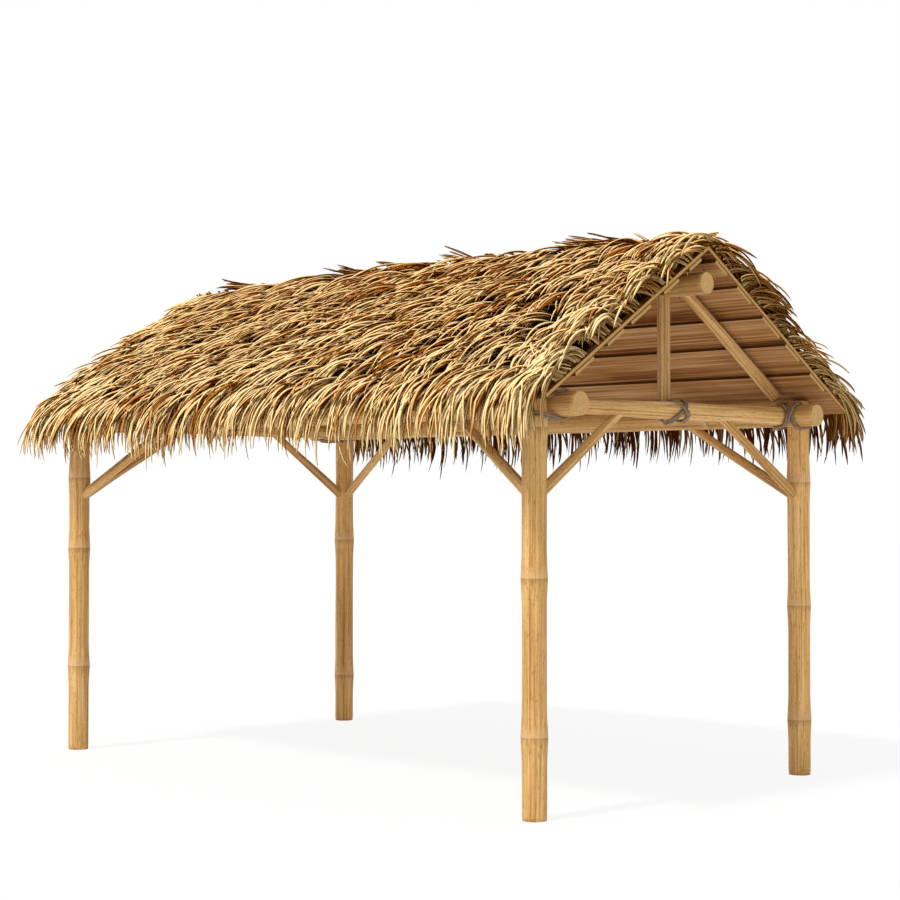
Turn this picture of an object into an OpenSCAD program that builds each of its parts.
/* [Posts] */
// Distance between the post axes across the gable
post_span = 2750; // [2300:10:3400]
// Distance between the post axes along the ridge
post_run = 4730; // [3800:10:6000]
// Diameter of each post
post_d = 150; // [130:1:170]
// How far the posts reach above the plate axes where the roof boards leave room
post_past = 115; // [103:1:133]
// How far a node ring stands out from its post
ring_out = 6; // [2:0.5:9]
// Length of the swelling above a node ring
ring_rise = 290; // [150:5:300]
// Length of the swelling below a node ring
ring_fall = 210; // [120:5:230]
// Heights of the node rings on the front left post
rings_front_left = [495, 1447]; // [300:1:1500]
// Heights of the node rings on the front right post
rings_front_right = [381, 1176]; // [300:1:1500]
// Heights of the node rings on the back left post
rings_back_left = [638, 1542]; // [300:1:1560]
// Heights of the node rings on the back right post
rings_back_right = [391, 1560]; // [300:1:1600]

/* [Plates and ridge] */
// Height of the axes of the two eave plates
plate_h = 2497; // [2400:1:2560]
// Diameter of the eave plates
plate_d = 154; // [140:1:170]
// Depth that a plate is let into its posts
plate_let_in = 14; // [6:1:24]
// How far the plates run past the post axes
plate_overhang = 254; // [180:2:262]
// Diameter of the ridge pole
ridge_d = 146; // [120:1:160]
// How far the ridge pole runs past the post axes
ridge_overhang = 255; // [180:2:262]

/* [Gable frame] */
// Diameter of a tie beam at its left end
tie_left_d = 98; // [90:1:110]
// Diameter of a tie beam at its right end
tie_right_d = 134; // [115:1:140]
// Diameter of the king posts
king_d = 87; // [70:1:95]
// How far short of the plate axes the thin tips of the tie beams are cut off
tie_trim = 46; // [42:1:58]
// How far a king post reaches below the axis of its tie beam
king_drop = 52; // [45:1:56]
// Diameter of a rafter where it crosses the ridge pole
rafter_ridge_d = 80; // [70:1:84]
// Diameter of a rafter where it crosses the plate
rafter_plate_d = 89; // [76:1:92]
// How far a rafter's foot reaches past the plate axis
rafter_past = 62; // [40:1:66]

/* [Braces] */
// Height at which the brace axes meet the post axes
brace_foot_h = 1920; // [1850:5:2000]
// Reach of the braces along the beams at each post: front left, front right, back left, back right
brace_reach = [840, 940, 1030, 840]; // [800:5:1080]
// Diameter of a brace at its post
brace_foot_d = 72; // [60:1:76]
// Diameter of a brace at its beam
brace_head_d = 60; // [50:1:64]
// Diameter of the round tenons on the brace ends
tenon_d = 30; // [20:1:36]
// Depth of the tenons in the posts and beams
tenon_l = 36; // [20:1:40]

/* [Roof boards] */
// Slope of the roof
roof_pitch = 32.85; // [31:0.05:34]
// Thickness of the roof boards
board_t = 24; // [18:0.5:26]
// Widths from the ridge down: an upper board up to its laps, then a lower board, and so on
board_w = [155, 144, 211, 176, 238, 226, 164, 184, 234, 200, 338]; // [120:1:340]
// How far a lower board laps under the widths of its neighbours
board_lap = 40; // [25:1:45]
// How far the boards run past the post axes
board_overhang = 267; // [264:1:300]

/* [Thatch] */
// How far the thatch runs past the ends of the boards
thatch_past = 48; // [0:1:80]
// Thickness of the mat that carries the thatch
mat_t = 12; // [8:1:18]
// Thickness of a course of thatch
course_t = 18; // [12:1:22]
// Radii of the bends of the courses from the ridge down
course_r = [200, 225, 225, 225, 225, 225, 225, 225, 205]; // [195:1:230]
// Angle at which a course rises off the boards
course_rise = 80; // [74:1:84]
// Distance of the first root from the ridge line
first_root = 44; // [38:1:50]
// Number of tufts in a course
tufts = 8; // [6:1:10]
// Number of leaves in a tuft
tuft_leaves = 8; // [5:1:9]
// Room between two tufts
tuft_gap = 6; // [3:1:12]
// Width of a leaf at its tip
tip_w = 12; // [8:1:20]
// Longest cut between two leaves
tip_cut = 240; // [160:5:260]
// Largest difference in length between the leaves
tip_ragged = 90; // [0:1:100]
// Room between a course and the next one below it
course_gap = 1; // [0.5:0.5:3]
// Distance from the last course's root to the eave fringe's root
fringe_step = 84; // [78:1:90]
// Distance of the eave fringe's root from the boards' lower edge
fringe_in = 94; // [86:1:104]
// Radius of the bend of the eave fringe
fringe_r = 185; // [180:1:190]
// Length of the eave fringe that hangs straight down
fringe_drop = 300; // [200:5:320]
// Longest cut between two leaves of the eave fringe
fringe_cut = 340; // [240:5:360]
// Height of the ridge thatch above the ridge line of the boards
cap_h = 98; // [94:1:110]
// Radius of the bend of the ridge thatch
cap_r = 900; // [880:5:960]
// Half the width of the ridge thatch
cap_half = 500; // [420:5:510]
// Half the width of the solid heart of the ridge thatch
cap_heart = 100; // [60:5:120]

/* [Lashings] */
// Diameter of the lashing cord
cord_d = 17; // [12:0.5:17]
// Room between neighbouring turns of cord
turn_gap = 4; // [4:0.5:5]
// How far the cord stands off the poles, so that its flat-sided turns clear them
stand_off = 3.3; // [3:0.1:4]

/* [Fits] */
// Clearance between round pieces that meet
fit = 0.3; // [0.2:0.1:0.6]

/* [Hidden] */
$fn = 48;
POSTS = ["front_left", "front_right", "back_left", "back_right"];

POLE_COLOUR = "#c9a066";
BOARD_COLOUR = "#a98660";
THATCH_COLOUR = "#d2ab66";
CORD_COLOUR = "#857866";
FAR = 9000;

post_r = post_d / 2;
plate_r = plate_d / 2;
ridge_r = ridge_d / 2;
king_r = king_d / 2;
post_x = post_span / 2;
post_y = post_run / 2;
plate_x = post_x - post_r - plate_r + plate_let_in;
plate_l = post_run + 2 * plate_overhang;
ridge_l = post_run + 2 * ridge_overhang;
roof_half = post_y + board_overhang;
post_top_h = plate_h + post_past;
thatch_half = roof_half + thatch_past;

// Heights on the roof: the rafters lie on the plates and carry the two layers of boards
deck_t = 2 * board_t;
apex_h = plate_h + (plate_r + rafter_plate_d + 2 * fit + deck_t) / cos(roof_pitch)
    + plate_x * tan(roof_pitch);
ridge_h = apex_h - (deck_t + rafter_ridge_d + 2 * fit + ridge_r) / cos(roof_pitch);

// Slope coordinates: s runs down the boards' upper face from the ridge line, n stands out from it
function slope_s(x, z) = x * cos(roof_pitch) - (z - apex_h) * sin(roof_pitch);
function slope_n(x, z) = x * sin(roof_pitch) + (z - apex_h) * cos(roof_pitch);
function sum_to(list, last) = last < 0 ? 0 : list[last] + sum_to(list, last - 1);
function board_start(i) = sum_to(board_w, i - 1) - i * board_lap;
deck_l = board_start(len(board_w) - 1) + board_w[len(board_w) - 1];

// Radius of a tie beam at a distance x to the right of the ridge
function tie_r(x) = (tie_left_d + (tie_right_d - tie_left_d) * (x + plate_x) / (2 * plate_x)) / 2;
king_y = post_y - tie_r(0) - fit - king_r;

// Radius of a rafter at the distance s down the slope, from where it crosses ridge pole and plate
ridge_s = slope_s(0, ridge_h);
plate_s = slope_s(plate_x, plate_h);
function rafter_r(s) = (rafter_ridge_d + (rafter_plate_d - rafter_ridge_d)
    * (s - ridge_s) / (plate_s - ridge_s)) / 2;
function rafter_n(s) = -deck_t - fit - rafter_r(s);
rafter_foot_s = (plate_x + rafter_past - rafter_n(plate_s) * sin(roof_pitch)) / cos(roof_pitch);

// Left or right side of the roof, by the name of a node's end
module on_side(right) {
    if (right) children(); else mirror([1, 0, 0]) children();
}

// Front or back of the shelter, drawn for the front
module at_end(front) {
    if (front) children(); else mirror([0, 1, 0]) children();
}

// Draws its children in slope coordinates on the right side of the roof
module on_slope() {
    translate([0, 0, apex_h]) rotate([0, roof_pitch, 0]) children();
}

// A tapered round pole from point a to point b
module pole(a, b, ra, rb) {
    d = b - a;
    translate(a)
        rotate([0, acos(d[2] / norm(d)), atan2(d[1], d[0])])
            cylinder(h = norm(d), r1 = ra, r2 = rb);
}

module along_y(x, z, r, l) {
    pole([x, -l / 2, z], [x, l / 2, z], r, r);
}

// Everything above the underside of the boards on the right side
module under_boards_cut() {
    on_slope() translate([-FAR / 2, -FAR / 2, -deck_t - fit]) cube([FAR, FAR, FAR]);
}

// Post: a round pole with node rings, notched for its plate and bored for two brace tenons

// A swelling, from below its ring to above it: share of its length and share of its height
SWELLING = [[-1, 0], [-0.33, 0.55], [0, 1], [0.33, 0.5], [1, 0]];

// Outline of the right half of a post, with each swelling rising to its ring
function post_outline(rings) = [
    [0, 0],
    [post_r, 0],
    for (h = rings) for (q = SWELLING)
        [post_r + ring_out * q[1], h + q[0] * (q[0] < 0 ? ring_fall : ring_rise)],
    [post_r, post_top_h],
    [0, post_top_h]
];

// Axis of a gable brace and of a side brace at the front right, from post axis to beam axis
function gable_line(reach) = [[post_x, -post_y, brace_foot_h], [post_x - reach, -post_y, plate_h]];
function side_line(reach) = [[post_x, -post_y, brace_foot_h], [plate_x, -post_y + reach, plate_h]];

// Slope of a line against the level
function climb(line) = asin((line[1][2] - line[0][2]) / norm(line[1] - line[0]));
function along(line, d) = line[0] + (line[1] - line[0]) * d / norm(line[1] - line[0]);

// Length from the post axis to the post's surface, and from the beam's surface to its axis
function post_inset(line) = post_r / cos(climb(line));
function beam_inset(line, beam_r) = beam_r / sin(climb(line));

// The round bar that makes both tenons of a brace, grown by a clearance for the sockets
module tenon_bar(line, beam_r, room) {
    a = post_inset(line) - tenon_l - room;
    b = norm(line[1] - line[0]) - beam_inset(line, beam_r) + tenon_l + room;
    pole(along(line, a), along(line, b), tenon_d / 2 + room, tenon_d / 2 + room);
}

module post(rings, reach, right, front) {
    color(POLE_COLOUR)
    on_side(right) at_end(front)
    difference() {
        translate([post_x, -post_y, 0]) rotate_extrude() polygon(post_outline(rings));
        along_y(plate_x, plate_h, plate_r + fit, plate_l);
        under_boards_cut();
        tenon_bar(gable_line(reach), tie_r(0), fit);
        tenon_bar(side_line(reach), plate_r, fit);
    }
}

// Plate: the eave pole on two posts, bored from below for two brace tenons
module plate(right) {
    color(POLE_COLOUR)
    on_side(right)
    difference() {
        along_y(plate_x, plate_h, plate_r, plate_l);
        tenon_bar(side_line(brace_reach[right ? 1 : 0]), plate_r, fit);
        mirror([0, 1, 0]) tenon_bar(side_line(brace_reach[right ? 3 : 2]), plate_r, fit);
    }
}

module ridge_pole() {
    color(POLE_COLOUR) along_y(0, ridge_h, ridge_r, ridge_l);
}

// Tie beam: spans the plates at a gable, with hollowed ends and two brace sockets
module tie(front) {
    color(POLE_COLOUR)
    at_end(front)
    difference() {
        pole([-plate_x, -post_y, plate_h], [plate_x, -post_y, plate_h], tie_left_d / 2, tie_right_d / 2);
        for (x = [-plate_x, plate_x]) along_y(x, plate_h, plate_r + fit, plate_l);
        for (right = [false, true]) on_side(right)
            translate([plate_x - tie_trim, -FAR / 2, 0]) cube([FAR, FAR, FAR]);
        mirror([1, 0, 0]) tenon_bar(gable_line(brace_reach[front ? 0 : 2]), tie_r(0), fit);
        tenon_bar(gable_line(brace_reach[front ? 1 : 3]), tie_r(0), fit);
    }
}

// King post: stands inside the tie beam and carries the ridge pole in a hollow
module king(front) {
    color(POLE_COLOUR)
    at_end(front)
    difference() {
        translate([0, -king_y, plate_h - king_drop])
            cylinder(h = ridge_h - plate_h + king_drop, r = king_r);
        along_y(0, ridge_h, ridge_r + fit, ridge_l);
    }
}

// Rafter: lies on the ridge pole and the plate, cut plumb where it meets its partner
module rafter(right, front) {
    color(POLE_COLOUR)
    on_side(right) at_end(front)
    difference() {
        on_slope() pole(
            [-post_r, -king_y, rafter_n(-post_r)],
            [rafter_foot_s, -king_y, rafter_n(rafter_foot_s)],
            rafter_r(-post_r),
            rafter_r(rafter_foot_s)
        );
        translate([-FAR, -FAR / 2, 0]) cube([FAR, FAR, FAR]);
    }
}

// Brace: a short pole with hollowed ends and a round tenon at each
module brace(line, beam_r, right, front) {
    color(POLE_COLOUR)
    on_side(right) at_end(front)
    union() {
        difference() {
            pole(line[0], line[1], brace_foot_d / 2, brace_head_d / 2);
            translate([post_x, -post_y, 0]) cylinder(h = plate_h, r = post_r + fit);
            children();
        }
        tenon_bar(line, beam_r, 0);
    }
}

module gable_brace(reach, right, front) {
    brace(gable_line(reach), tie_r(0), right, front)
        on_side(right)
            pole([-plate_x, -post_y, plate_h], [plate_x, -post_y, plate_h],
                tie_left_d / 2 + fit, tie_right_d / 2 + fit);
}

module side_brace(reach, right, front) {
    brace(side_line(reach), plate_r, right, front)
        along_y(plate_x, plate_h, plate_r + fit, plate_l);
}

// Middle of a lower board, over which two upper boards meet
function board_joint(i) = board_start(i) + board_w[i] / 2;

// Roof board: odd ones lie edge to edge in the upper layer, even ones cover their joints below
module board(i, right) {
    upper = i % 2 == 0;
    start = i == 0 ? -FAR : upper ? board_joint(i - 1) + fit / 2 : board_start(i);
    end = upper && i < len(board_w) - 1 ? board_joint(i + 1) - fit / 2 : board_start(i) + board_w[i];
    color(BOARD_COLOUR)
    on_side(right)
    intersection() {
        on_slope() translate([start, -roof_half, upper ? -board_t : -deck_t])
            cube([end - start, 2 * roof_half, board_t]);
        translate([0, -FAR / 2, 0]) cube([FAR, FAR, FAR]);
    }
}

// Thatch: each course is a bent mat cut into leaves, rooted in a flat mat on the boards
BIG_FN = 96;
LEAN_SHARE = 0.2;
DEPTH_SHARE = 0.33;
function root(i) = first_root + i * course_pitch;
function bend_s(r) = r * sin(course_rise);
function bend_n(r) = -r * cos(course_rise);

// A full-length cylinder about the centre of the bend of a course with the radius r
module bend(root_s, r, grown) {
    l = thatch_half + abs(grown);
    pole([root_s + bend_s(r), -l, bend_n(r)], [root_s + bend_s(r), l, bend_n(r)],
        r + grown, r + grown, $fn = BIG_FN);
}

module bent_mat(root_s, r) {
    difference() {
        bend(root_s, r, course_t / 2);
        bend(root_s, r, -course_t / 2);
    }
}

// Outline of the leaves of a tuft: ragged tips with a pointed cut between each two
function leaves(tuft, cut, end, seed) =
    let (n = tufts * tuft_leaves, step = 2 * thatch_half / n)
    let (lean = rands(-step * LEAN_SHARE, step * LEAN_SHARE, n, seed))
    let (short = rands(0, tip_ragged, n, seed + 1))
    let (depth = rands(0, cut * DEPTH_SHARE, n, seed + 2))
    let (first = tuft * tuft_leaves, next = first + tuft_leaves)
    [
        [end - cut, -thatch_half + first * step + tuft_gap / 2],
        for (i = [first:next - 1])
            let (y = -thatch_half + (i + 0.5) * step + lean[i])
            each [
                [end - short[i], y - tip_w / 2],
                [end - short[i], y + tip_w / 2],
                if (i < next - 1) [end - cut + depth[i], -thatch_half + (i + 1) * step]
            ],
        [end - cut, -thatch_half + next * step - tuft_gap / 2]
    ];

// A comb of tufts that start at a straight root
module comb(start, cut, end, seed) {
    for (tuft = [0:tufts - 1]) {
        row = leaves(tuft, cut, end, seed);
        polygon([[start, row[len(row) - 1][1]], [start, row[0][1]], each row]);
    }
}

// One course from its root to where it comes down on the next course
module course(root_s, r, next_s, next_r, seed) {
    end = root_s + bend_s(r) + (next_s - root_s) / 2;
    difference() {
        intersection() {
            bent_mat(root_s, r);
            linear_extrude(height = FAR) comb(root_s - course_t, tip_cut, end, seed);
        }
        bend(next_s, next_r, course_t / 2 + course_gap);
    }
}

// The eave fringe: a last course that bends on until it hangs straight down
module fringe(root_s, seed) {
    hang = 90 - roof_pitch;
    out = fringe_r + course_t / 2;
    tail_s = root_s + bend_s(fringe_r) + out * sin(hang) + fringe_drop * cos(hang);
    intersection() {
        union() {
            difference() {
                bent_mat(root_s, fringe_r);
                translate([root_s + bend_s(fringe_r), 0, bend_n(fringe_r)]) rotate([0, hang, 0])
                    translate([0, -FAR / 2, -FAR]) cube([FAR, FAR, FAR * 2]);
            }
            translate([root_s + bend_s(fringe_r), 0, bend_n(fringe_r)]) rotate([0, hang, 0])
                translate([-1, -thatch_half, out - course_t])
                    cube([fringe_drop + 1, 2 * thatch_half, course_t]);
        }
        translate([0, 0, -FAR / 2]) linear_extrude(height = FAR)
            comb(root_s - course_t, fringe_cut, tail_s, seed);
        union() {
            translate([0, -FAR / 2, 0]) cube([FAR, FAR, FAR]);
            translate([deck_l + course_gap, -FAR / 2, -FAR]) cube([FAR, FAR, FAR]);
        }
    }
}

COURSES_PER_BAND = 3;
BANDS = 3;
LAST_COURSE = BANDS * COURSES_PER_BAND - 1;
fringe_root = deck_l - fringe_in;
course_pitch = (fringe_root - fringe_step - first_root) / LAST_COURSE;
function band_start(i) = root(i * COURSES_PER_BAND) - course_t;

module thatch(i, right) {
    mat_end = i == BANDS - 1 ? deck_l : band_start(i + 1) - course_gap;
    color(THATCH_COLOUR)
    on_side(right) on_slope() {
        translate([band_start(i), -thatch_half, 0])
            cube([mat_end - band_start(i), 2 * thatch_half, mat_t]);
        for (k = [0:COURSES_PER_BAND - 1]) {
            n = i * COURSES_PER_BAND + k;
            seed = n * 10 + (right ? 600 : 0);
            if (n == LAST_COURSE) course(root(n), course_r[n], fringe_root, fringe_r, seed);
            else course(root(n), course_r[n], root(n + 1), course_r[n + 1], seed);
        }
        if (i == BANDS - 1) fringe(fringe_root, right ? 990 : 980);
    }
}

// Ridge thatch: tufts laid over the ridge line and combed down both sides, on a solid heart
module ridge_bundle() {
    z = apex_h + cap_h - cap_r;
    l = 2 * thatch_half;
    intersection() {
        difference() {
            along_y(0, z, cap_r, l, $fn = 2 * BIG_FN);
            along_y(0, z, cap_r - course_t, l + course_t, $fn = 2 * BIG_FN);
        }
        linear_extrude(height = 2 * apex_h)
            for (tuft = [0:tufts - 1]) polygon([
                each leaves(tuft, tip_cut, cap_half, 700),
                for (p = leaves(tufts - 1 - tuft, tip_cut, cap_half, 710)) [-p[0], -p[1]]
            ]);
    }
    intersection() {
        along_y(0, z, cap_r - course_t / 2, l - 2 * course_t, $fn = 2 * BIG_FN);
        translate([-cap_heart, -FAR / 2, 0]) cube([2 * cap_heart, FAR, FAR]);
    }
}

// Everything under the upper faces of the boards
module roof_prism() {
    fall = cap_r * tan(roof_pitch);
    rotate([90, 0, 0]) linear_extrude(height = FAR, center = true) polygon([
        [0, apex_h], [cap_r, apex_h - fall], [cap_r, 0], [-cap_r, 0], [-cap_r, apex_h - fall]
    ]);
}

module thatch_ridge() {
    color(THATCH_COLOUR)
    difference() {
        ridge_bundle();
        roof_prism();
        for (right = [false, true]) on_side(right) on_slope() {
            translate([band_start(0) - course_gap, -FAR / 2, 0])
                cube([FAR, FAR, mat_t + course_gap]);
            bend(first_root, course_r[0], course_t / 2 + course_gap);
        }
    }
}

// Lashings: one cord wound twice over the same route, its turns side by side on the poles

// A point pushed out of the round pole from a to b until the cord lies on it
function off_pole(p, a, b, r) =
    let (t = max(0, min(1, (p - a) * (b - a) / ((b - a) * (b - a)))))
    let (q = a + t * (b - a))
    let (m = norm(p - q))
    m < r ? q + (p - q) * r / m : p;

function off_poles(p, poles, i = 0) =
    i == len(poles) ? p : off_poles(off_pole(p, poles[i][0], poles[i][1], poles[i][2]), poles, i + 1);

// A smooth closed curve through a list of points, at the place t
function spline(list, t) =
    let (n = len(list), i = floor(t), f = t - i)
    let (a = list[(i + n - 1) % n], b = list[i % n], c = list[(i + 1) % n], d = list[(i + 2) % n])
    (2 * b + (c - a) * f + (2 * a - 5 * b + 4 * c - d) * f * f + (3 * b - a - 3 * c + d) * f * f * f) / 2;

function unit(v) = v / norm(v);
function ease(t) = let (u = max(0, min(1, t))) u * u * (3 - 2 * u);

RINGS_PER_ROUND = 64;
CORD_SIDES = 6;
LANE_SHARE = 0.16;
cord_r = cord_d / 2;
lane = cord_d + turn_gap;

// The cord's centre line: lane 0 on the first round, lane 1 on the second, over at its end
TAIL_SHARE = 1.3 * LANE_SHARE;
function wound(route, poles) = [
    for (k = [0:floor(RINGS_PER_ROUND * (2 - TAIL_SHARE))])
        let (u = k / RINGS_PER_ROUND)
        let (t = (u - floor(u)) * len(route))
        let (shift = ease((u - 1 + LANE_SHARE) / LANE_SHARE) - 0.5)
        let (p = spline([for (r = route) r[0]], t))
        let (side = unit(spline([for (r = route) r[1]], t)))
        off_poles(off_poles(p + side * shift * lane, poles), poles)
];

// A tube of triangles along a list of points
module tube(points, r) {
    n = len(points);
    aim = [for (i = [0:n - 1]) unit(points[min(i + 1, n - 1)] - points[max(i - 1, 0)])];
    first = unit(cross(aim[0], abs(aim[0][2]) < 0.9 ? [0, 0, 1] : [1, 0, 0]));
    up = carried(aim, first);
    rings = [
        for (i = [0:n - 1]) for (j = [0:CORD_SIDES - 1])
            let (w = cross(aim[i], up[i]))
            points[i] + r * (cos(j * 360 / CORD_SIDES) * up[i] + sin(j * 360 / CORD_SIDES) * w)
    ];
    faces = [
        for (i = [0:n - 2]) for (j = [0:CORD_SIDES - 1])
            let (a = i * CORD_SIDES + j, b = i * CORD_SIDES + (j + 1) % CORD_SIDES)
            each [[a, b + CORD_SIDES, b], [a, a + CORD_SIDES, b + CORD_SIDES]],
        for (j = [1:CORD_SIDES - 2]) each [
            [0, j, j + 1],
            [(n - 1) * CORD_SIDES, (n - 1) * CORD_SIDES + j + 1, (n - 1) * CORD_SIDES + j]
        ]
    ];
    polyhedron(points = rings, faces = faces);
}

// A normal carried along the tube without twist
function carried(aim, v, i = 0, done = []) =
    i == len(aim) ? done :
    let (u = unit(v - (v * aim[i]) * aim[i]))
    carried(aim, u, i + 1, concat(done, [u]));

// Least distance between the surfaces of two parts of the cord that are not neighbours
APART = 10;
function with_middles(points) = [
    for (i = [0:len(points) - 2]) each [points[i], (points[i] + points[i + 1]) / 2]
];
function least_gap(points) =
    let (p = with_middles(points))
    min([for (i = [0:len(p) - 1]) for (j = [i + APART:1:len(p) - 1]) norm(p[i] - p[j]) - cord_d]);

// Corner lashing at the front right, in its own axes: u inwards from the post, v out past the
// gable, w up from the plate's axis; each stop has its place and the side that lane 1 lies on
CORNER_ROUTE = [
    [[138, 106, 88], [0, 1, 0]],
    [[216, 108, 66], [0, 1, 0]],
    [[253, 98, 4], [0, 0.8, -0.6]],
    [[236, 60, -60], [-1, 0, 0]],
    [[230, 0, -80], [-0.9, 0.4, 0]],
    [[192, -52, -84], [-0.5, 0.85, 0]],
    [[138, -98, -90], [-0.2, 1, 0]],
    [[45, -80, -68], [0, 0.2, -1]],
    [[-43, -78, -60], [0, 0, -1]],
    [[-86, 0, -58], [0, 0, -1]],
    [[-43, 75, -64], [0, 0, -1]],
    [[46, 90, -78], [0, -0.5, -0.85]],
    [[138, 106, -88], [0, -1, 0]],
    [[200, 106, -62], [0, -1, 0]],
    [[226, 94, 0], [0, -0.8, -0.6]],
    [[234, 56, 58], [1, 0, 0]],
    [[230, 2, 80], [0.85, -0.4, 0]],
    [[190, -18, 82], [0.4, -0.9, 0]],
    [[138, -22, 93], [0.3, -1, 0]],
    [[74, -54, 66], [0.4, -0.85, -0.3]],
    [[-10, -92, 36], [0, -0.1, -1]],
    [[-90, -26, 26], [0, 0, -1]],
    [[-46, 84, 30], [0, 0, -1]],
    [[46, 94, 56], [0.2, 0.5, -0.8]]
];

module corner_lashing(right, front) {
    foot = [post_x - plate_x - rafter_past, post_y - king_y];
    reach = cord_r + fit + stand_off;
    end = right ? tie_right_d : tie_left_d;
    poles = [
        [[0, 0, -FAR], [0, 0, FAR], post_r + reach],
        [[post_x - plate_x, -FAR, 0], [post_x - plate_x, FAR, 0], plate_r + reach],
        [[post_x - plate_x + plate_r, 0, 0], [FAR, 0, 0], end / 2 + reach],
        [
            [foot[0], -foot[1], slope_to_w(plate_x + rafter_past)],
            [post_x, -foot[1], slope_to_w(0)],
            rafter_plate_d / 2 + reach
        ]
    ];
    path = wound(CORNER_ROUTE, poles);
    echo(least_gap_of_corner_lashing = least_gap(path));
    color(CORD_COLOUR)
    on_side(right) at_end(front)
        tube([for (p = path) [post_x - p[0], -post_y - p[1], plate_h + p[2]]], cord_r);
}

// Height of a rafter's axis above the plate's axis at the distance x from the ridge
function slope_to_w(x) = apex_h - x * tan(roof_pitch) + rafter_n(plate_s) / cos(roof_pitch) - plate_h;

// King post lashing, in axes from the king post: u to the right, v out past the tie, w up
KING_ROUTE = [
    [[-7, 194, 2], [-0.49, 0.02, -0.87]],
    [[43, 169, -37], [-0.91, -0.04, -0.4]],
    [[64, 106, -69], [-0.99, -0.07, 0.07]],
    [[67, 30, -48], [-0.58, -0.43, -0.69]],
    [[38, -25, -32], [-0.06, -0.15, -0.99]],
    [[-7, -55, -21], [-0.17, -0.14, -0.98]],
    [[-61, -17, -26], [0.28, -0.2, -0.94]],
    [[-95, 55, -60], [0.85, -0.3, -0.43]],
    [[-95, 97, -80], [0.62, -0.11, -0.78]],
    [[-62, 152, -50], [0.74, -0.23, -0.63]],
    [[1, 168, 3], [0.35, -0.4, -0.84]],
    [[50, 135, 44], [0.45, 0.75, -0.47]],
    [[68, 95, 62], [0.89, 0.27, 0.38]],
    [[67, 51, 53], [0.95, -0.17, -0.28]],
    [[42, -19, 40], [-0.23, -0.06, -0.97]],
    [[-1, -32, 53], [0.05, 0.08, -1.0]],
    [[-41, -16, 58], [0.02, -0.05, -1.0]],
    [[-61, 28, 52], [-0.09, -0.95, 0.3]],
    [[-55, 88, 71], [-0.36, -0.69, 0.63]],
    [[-44, 151, 55], [-0.74, 0.64, 0.21]]
];

module king_lashing(front) {
    reach = cord_r + fit + stand_off;
    poles = [
        [[0, 0, -FAR], [0, 0, FAR], king_r + reach],
        [[-FAR, post_y - king_y, 0], [FAR, post_y - king_y, 0], tie_r(0) + reach]
    ];
    path = wound(KING_ROUTE, poles);
    echo(least_gap_of_king_lashing = least_gap(path));
    color(CORD_COLOUR)
    at_end(front) tube([for (p = path) [p[0], -king_y - p[1], plate_h + p[2]]], cord_r);
}

RINGS = [rings_front_left, rings_front_right, rings_back_left, rings_back_right];
for (i = [0:3]) {
    right = i % 2 == 1;
    front = i < 2;
    post(RINGS[i], brace_reach[i], right, front);
    rafter(right, front);
    gable_brace(brace_reach[i], right, front);
    side_brace(brace_reach[i], right, front);
    corner_lashing(right, front);
}
for (right = [false, true]) {
    side = right ? "right" : "left";
    plate(right);
    for (i = [1:11]) board(i - 1, right);
    for (i = [1:3]) thatch(i - 1, right);
}
for (front = [true, false]) {
    end = front ? "front" : "back";
    tie(front);
    king(front);
    king_lashing(front);
}
ridge_pole();
thatch_ridge();
